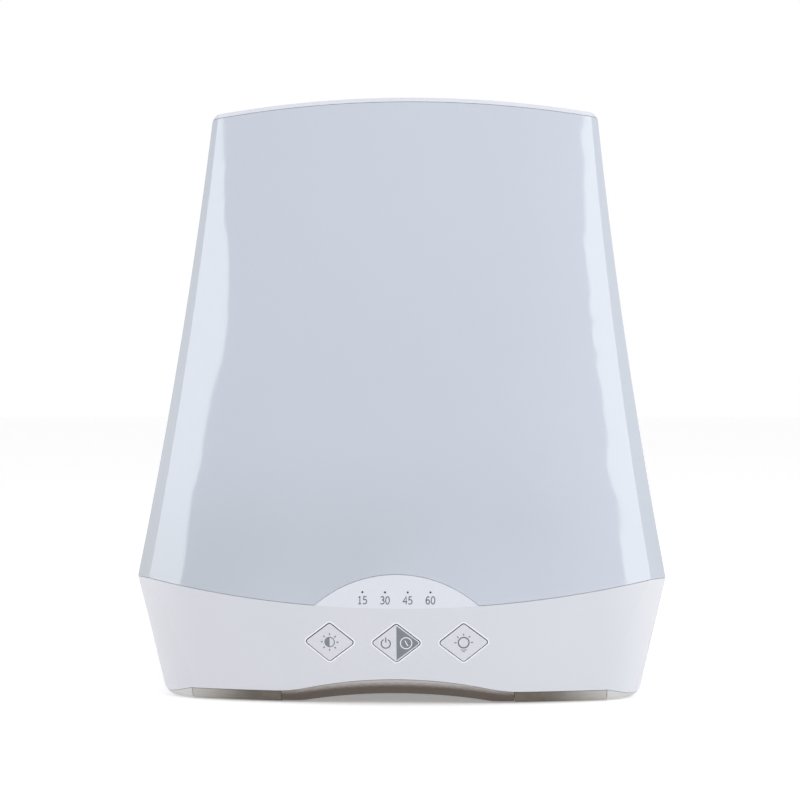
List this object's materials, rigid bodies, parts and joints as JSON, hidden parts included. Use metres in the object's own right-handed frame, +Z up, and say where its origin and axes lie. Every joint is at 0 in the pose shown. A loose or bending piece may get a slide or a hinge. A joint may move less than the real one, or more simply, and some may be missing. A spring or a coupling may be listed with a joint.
{
  "type": "light therapy lamp",
  "caption": "Free-standing light therapy lamp: leaning opal light panel over a curved white base, with diamond push keys, timer marks and a power inlet in the rear.",
  "frame": {"origin": "on the table, under the middle of the lamp", "axes": "+X to the right seen from the front, +Y to the back, +Z up"},
  "size_m": [0.22, 0.12, 0.252],
  "materials": {
    "opal_lens": "satin gloss, milky",
    "white_shell": "smooth moulded, soft gloss",
    "warm_grey_cover": "fine moulded grain",
    "foot_rubber": "matte",
    "key_plastic": "smooth, printed symbols",
    "plunger_plastic": "smooth",
    "black_plastic": "fine grain",
    "circuit_board": "lacquered",
    "plug_plastic": "smooth",
    "light_source": "cast resin",
    "clear_plastic": "clear, polished",
    "white_board": "white lacquer",
    "reflector_white": "matte white",
    "diffusing_film": "frosted",
    "coil_ferrite": "dull",
    "capacitor_sleeve": "shrunk sleeve",
    "wire_red": "smooth",
    "wire_black": "smooth",
    "ribbon_grey": "ribbed",
    "pin_metal": "plated",
    "screw_steel": "zinc plated"
  },
  "bodies": {
    "lamp": {"bottom_cover": "warm_grey_cover", "control_board": "circuit_board", "control_chip": "black_plastic", "control_plug": "plug_plastic", "control_ribbon": "ribbon_grey", "control_screws": "screw_steel", "cover_screws": "screw_steel", "dc_inlet": "black_plastic", "dc_inlet_pin": "pin_metal", "diffuser_lens": "opal_lens", "diffusing_sheet": "diffusing_film", "driver_board": "circuit_board", "driver_capacitor": "capacitor_sleeve", "driver_chip": "black_plastic", "driver_coil": "coil_ferrite", "driver_control_plug": "plug_plastic", "driver_light_plug": "plug_plastic", "driver_screws": "screw_steel", "foot_front_left": "foot_rubber", "foot_front_right": "foot_rubber", "foot_rear_left": "foot_rubber", "foot_rear_right": "foot_rubber", "front_housing": "white_shell", "housing_screws": "screw_steel", "indicator_light_pipe": "clear_plastic", "indicator_lights": "light_source", "light_board": "white_board", "light_board_screws": "screw_steel", "light_emitters": "light_source", "light_plug": "plug_plastic", "light_wire_black": "wire_black", "light_wire_red": "wire_red", "rear_housing": "white_shell", "reflector_tray": "reflector_white", "switch_brightness": "black_plastic", "switch_light": "black_plastic", "switch_power_timer": "black_plastic"},
    "brightness_key": {"key_brightness": "key_plastic", "plunger_brightness": "plunger_plastic"},
    "power_timer_key": {"key_power_timer": "key_plastic", "plunger_power_timer": "plunger_plastic"},
    "light_key": {"key_light": "key_plastic", "plunger_light": "plunger_plastic"}
  },
  "joints": [
    {"name": "brightness_press", "type": "slide", "parent": "lamp", "child": "brightness_key", "axis": [0, 0.9903, 0.1392], "range_m": [0, 0.0008], "stiffness_N_per_m": 2500, "springref_m": -0.0004},
    {"name": "power_timer_press", "type": "slide", "parent": "lamp", "child": "power_timer_key", "axis": [0, 0.9903, 0.1392], "range_m": [0, 0.0008], "stiffness_N_per_m": 2500, "springref_m": -0.0004},
    {"name": "light_press", "type": "slide", "parent": "lamp", "child": "light_key", "axis": [0, 0.9903, 0.1392], "range_m": [0, 0.0008], "stiffness_N_per_m": 2500, "springref_m": -0.0004}
  ]
}
